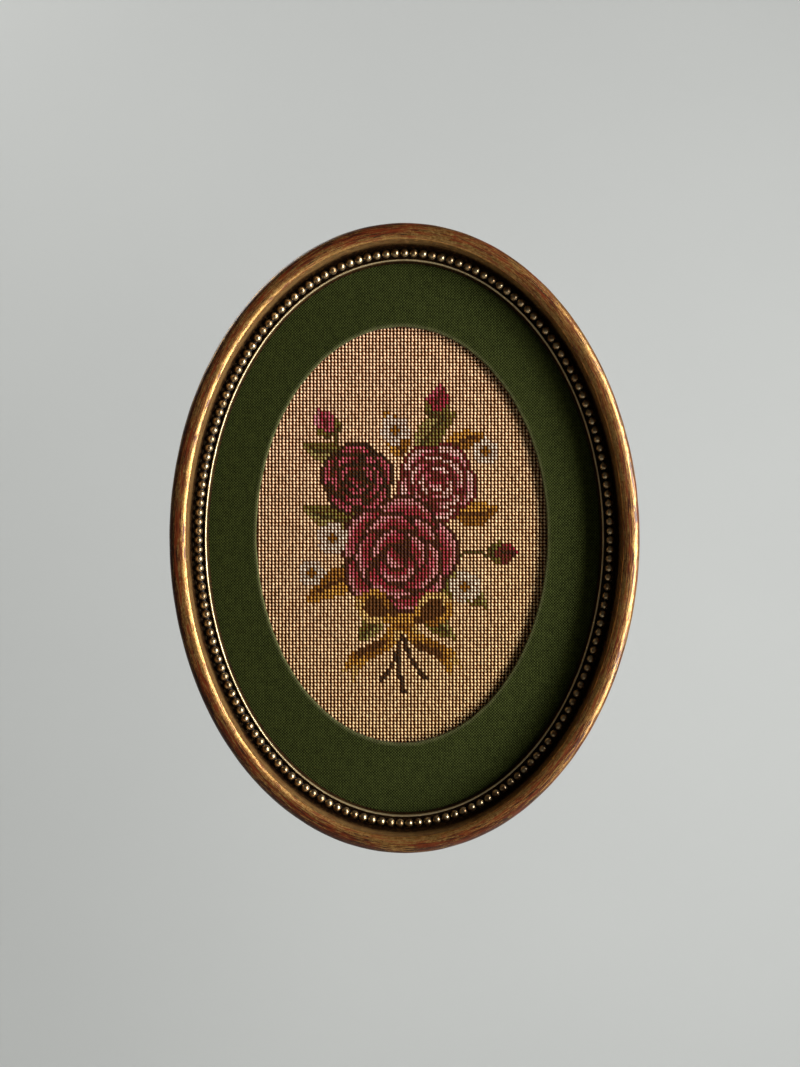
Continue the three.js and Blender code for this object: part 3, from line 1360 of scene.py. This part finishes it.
@dataclass
class Needlework:
    """The stretched canvas and the tent stitches on it, a beige ground with a tied spray of roses."""

    oval: Oval
    window: Window
    canvas_back: float = 2.0
    canvas_front: float = 2.5
    pitch: float = 1.11
    under_mat: float = 1.3
    yarn_radius: float = 0.36
    half_length: float = 0.63
    lean: float = 114.0
    crown_lift: float = 2.77
    foot_lift: float = 2.45
    tilt_spread: float = 5.0
    size_spread: float = 0.10
    shade_spread: float = 0.10
    shade_limit: float = 0.25
    shift_spread: float = 0.03
    shift_limit: float = 0.07
    fade_and_painted_light: float = 0.07  # how much lighter the yarns are towards the top and the right; towards the right it is painted light against the frame's shadow
    rings: int = 12
    stations: int = 96
    seed: int = 21

    def canvas(self) -> Object:
        """Builds the canvas as a thin closed disc."""
        shares = np.linspace(1, 0, self.rings + 1)[:-1]
        back = [(s, 0.0, self.canvas_back) for s in shares[::-1]]
        levels = back + [(s, 0.0, self.canvas_front) for s in shares]
        places, faces = self.oval.disc(levels, self.stations)
        weave = NeedleCanvas(self.pitch, self.window.right, self.window.up + self.oval.centre_up)
        return solid("needlework_canvas", places, faces, [weave.material()])

    def tree(self) -> NodeTree:
        """Builds the node tree that lays one short bent length of yarn on every point."""
        sizes = {
            "Foot": "NodeSocketVector",
            "Crown": "NodeSocketVector",
            "Head": "NodeSocketVector",
            "Yarn radius": "NodeSocketFloat",
            "Tilt spread": "NodeSocketFloat",
            "Size spread": "NodeSocketFloat",
            "Seed": "NodeSocketInt",
            "Finish": "NodeSocketMaterial",
        }
        tree, given, made = new_tree("tent stitches", sizes)
        get, nodes = given.outputs, Nodes(tree)
        ends = {"Resolution": 2, "Start": get["Foot"], "Middle": get["Crown"], "End": get["Head"]}
        bend = add_node(tree, "GeometryNodeCurveQuadraticBezier", inputs=ends)
        way = add_node(tree, "GeometryNodeSplineParameter").outputs["Factor"]
        bow = nodes.math("SINE", nodes.math("MULTIPLY", way, math.pi))
        plump = nodes.math("MULTIPLY_ADD", bow, 0.5, 0.5)
        strand = {"Resolution": 6, "Radius": get["Yarn radius"]}
        round_yarn = add_node(tree, "GeometryNodeCurvePrimitiveCircle", inputs=strand)
        sweep = {"Curve": bend.outputs[0], "Profile Curve": round_yarn.outputs[0]}
        yarn = add_node(tree, "GeometryNodeCurveToMesh", inputs={**sweep, "Scale": plump, "Fill Caps": True})
        spreads = []
        for step, key in enumerate(("Tilt spread", "Size spread")):
            low, seed = nodes.math("MULTIPLY", get[key], -1.0), nodes.math("ADD", get["Seed"], step)
            spreads.append(drawn_number(tree, low, get[key], seed))
        turn, growth = spreads
        upright = {"Axis": (0.0, 1.0, 0.0), "Angle": turn}
        tilt = add_node(tree, "FunctionNodeAxisAngleToRotation", inputs=upright)
        size = nodes.math("ADD", growth, 1.0)
        lay(tree, given, made, {"Instance": yarn.outputs[0], "Rotation": tilt.outputs[0], "Scale": size})
        return tree

    def chart(self) -> Chart:
        """Draws the spray on a grid that fills the window."""
        columns = int(self.window.half_width / self.pitch) + 1
        rows = int(self.window.half_height / self.pitch) + 1
        up, across = np.meshgrid(np.arange(-rows, rows + 1), np.arange(-columns, columns + 1), indexing="ij")
        chart = Chart(across.astype(float), up.astype(float))
        for motif in SPRAY:
            motif.work(chart)
        return chart

    def stitches(self) -> list[Object]:
        """Works the chart on the canvas: the ground as one piece and the spray as another."""
        chart = self.chart()
        rng = np.random.default_rng(self.seed)
        across, up = chart.across.ravel() * self.pitch, chart.up.ravel() * self.pitch
        wide, high = self.window.half_width + self.under_mat, self.window.half_height + self.under_mat
        seen = (across / wide) ** 2 + (up / high) ** 2 < 1
        colours = np.array([linear(dye.value) for dye in DYES])
        dye = colours[chart.dye.ravel()]
        most = self.shade_limit
        shade = 1 + rng.normal(0, self.shade_spread, len(dye)).clip(-most, most)
        # lighter towards the top, and towards the right as painted light against the frame's shadow there
        shade *= 1 + self.fade_and_painted_light * (up / high + across / wide)
        yellowed = 0.05 * across / wide - 0.1 * up / high
        dye[:, :3] *= shade[:, None] * (1 + yellowed[:, None] * (-0.3, 0, -1))
        shift = rng.normal(0, self.shift_spread, (len(dye), 2)).clip(-self.shift_limit, self.shift_limit)
        places = np.stack(
            [
                across + self.window.right + shift[:, 0],
                np.full(len(dye), -self.crown_lift),
                up + self.window.up + self.oval.centre_up + shift[:, 1],
            ],
            1,
        )
        lean = math.radians(self.lean)
        reach = self.half_length - 0.5 * self.yarn_radius
        x, z, dip = reach * math.cos(lean), reach * math.sin(lean), self.crown_lift - self.foot_lift
        sizes = {
            "Foot": (-x * MM, dip * MM, -z * MM),
            "Crown": (0, -dip * MM, 0),
            "Head": (x * MM, dip * MM, z * MM),
            "Yarn radius": self.yarn_radius * MM,
            "Tilt spread": math.radians(self.tilt_spread),
            "Size spread": self.size_spread,
            "Seed": self.seed,
            "Finish": DyedWool(lean=self.lean).material(),
        }
        tree = self.tree()
        ground = chart.dye.ravel() == 0
        pieces = []
        for name, some in (("ground_stitches", seen & ground), ("spray_stitches", seen & ~ground)):
            host = scattered(name + " points", places[some], {"dye": dye[some]})
            pieces.append(grown(host, tree, sizes, name))
        return pieces

    def fit(self, rests_on: list[Any]) -> Object:
        """Builds the needlework and puts it in its place.

        Args:
            rests_on: The pieces that it lies on; not used.

        Returns:
            The canvas.
        """
        canvas = self.canvas()
        stitches = self.stitches()
        for piece in (canvas, *stitches):
            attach(piece, "root")
            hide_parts("needlework")
        width, height = self.oval.sheet()
        for piece in (canvas, *stitches):
            report(piece)
        return canvas


@dataclass
class BackingBoard:
    """The board that closes the back, with its edges a little rounded by cutting."""

    oval: Oval
    back_lift: float = 0.3
    front_lift: float = 1.7
    edge_radius: float = 0.2
    stations: int = 160
    rings: int = 10

    def build(self) -> Object:
        """Stacks ovals from the middle of the back over the edge to the middle of the front."""
        radius, low, high = self.edge_radius, self.back_lift, self.front_lift
        shares = np.linspace(0, 1, self.rings + 1)[1:]
        backs = [(s, radius, low) for s in shares]
        turn = np.radians(np.linspace(0, 90, 4)[1:])
        rim = [(1, radius * (1 - math.sin(a)), low + radius * (1 - math.cos(a))) for a in turn]
        fronts = [(s, r, high + low - lift) for s, r, lift in reversed(backs + rim)]
        places, faces = self.oval.disc(backs + rim + fronts, self.stations)
        return solid("backing_card", places, faces, [FibreBoard().material()])

    def fit(self) -> Object:
        """Builds the board and puts it in its place."""
        piece = self.build()
        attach(piece, "root")
        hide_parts("backing_board")
        report(piece)
        return piece


@dataclass
class Studio:
    """A pale floor that curves up into a backdrop, a window-like light from the right, and the camera."""

    eye: tuple[float, float, float] = (-0.0014, -0.4754, -0.0926)
    lens: float = 50.0
    aim: tuple[float, float, float] = (0.0, 0.0, -0.094)
    light_raise: float = 28.0
    light_distance: float = 1.2
    light_width: float = 0.46
    light_height: float = 1.3
    light_power: float = 38.0
    fill_place: tuple[float, float, float] = (-0.9, 0.75, 0.9)
    fill_width: float = 0.8
    fill_power: float = 8.5
    ambient: float = 0.06
    floor_drop: float = 1.2
    backdrop: float = 1.15
    bend: float = 0.4

    def stage(self) -> None:
        """Builds the floor and backdrop as one bent sheet."""
        turn = np.linspace(0, math.pi / 2, 13)
        back, floor = self.backdrop - self.bend, self.bend - self.floor_drop
        bend = [(back + self.bend * math.sin(a), floor - self.bend * math.cos(a)) for a in turn]
        sides = [(-3.0, -self.floor_drop), *bend, (self.backdrop, 3.0)]
        points = [(x, y, z) for y, z in sides for x in (-4.0, 4.0)]
        faces = [(2 * i, 2 * i + 1, 2 * i + 3, 2 * i + 2) for i in range(len(sides) - 1)]
        mesh = bpy.data.meshes.new("background_paper")
        mesh.from_pydata(points, [], faces)
        mesh.materials.append(StudioPaper().material())
        mesh.shade_smooth()
        paper = in_scene("background_paper", mesh)

    def lamp(self, name: str, place: Vector, size: tuple[float, float], power: float) -> None:
        """Hangs an area light that faces the picture.

        Args:
            name: The light's name.
            place: Where it hangs.
            size: Its width and height.
            power: Its power in watts.
        """
        light = bpy.data.lights.new(name, "AREA")
        light.shape = "RECTANGLE"
        light.size, light.size_y = size
        light.energy = power
        lamp = in_scene(name, light)
        lamp.location = place
        lamp.rotation_euler = (Vector(self.aim) - place).to_track_quat("-Z", "Y").to_euler()

    def build(self) -> None:
        """Sets the stage, the lights and the camera."""
        scene = bpy.context.scene
        self.stage()
        turn = math.radians(self.light_raise)
        towards = Vector((math.cos(turn), -math.sin(turn), 0.0))
        window = Vector(self.aim) + self.light_distance * towards
        self.lamp("window", window, (self.light_width, self.light_height), self.light_power)
        self.lamp("rear fill", Vector(self.fill_place), (self.fill_width, self.fill_width), self.fill_power)
        world = bpy.data.worlds.new("soft room")
        world.use_nodes = True
        sky = world.node_tree.nodes["Background"]
        sky.inputs["Color"].default_value = linear("#F4F0E8")
        sky.inputs["Strength"].default_value = self.ambient
        scene.world = world
        scene.view_settings.view_transform = "Standard"
        lens = bpy.data.cameras.new("eye")
        lens.lens, lens.sensor_width = self.lens, 36.0
        camera = in_scene("eye", lens)
        camera.location = self.eye
        camera.rotation_euler = (math.pi / 2, 0.0, 0.0)
        scene.camera = camera


def report(piece: Object) -> None:
    """Logs a piece's name and how many faces it has."""
    log.info("%s: %d faces", piece.name, len(piece.data.polygons))


def main() -> None:
    """Builds the picture from the back to the front, then the studio round it."""
    logging.basicConfig(level=logging.INFO, format="%(message)s")
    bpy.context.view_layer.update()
    oval, window = Oval(), Window()
    board = BackingBoard(oval).fit()
    canvas = Needlework(oval, window).fit([board])
    Mat(oval, window).fit([canvas])
    Moulding(oval).fit()
    PearlCourse(oval).fit()
    Studio().build()


if __name__ == "__main__":
    main()
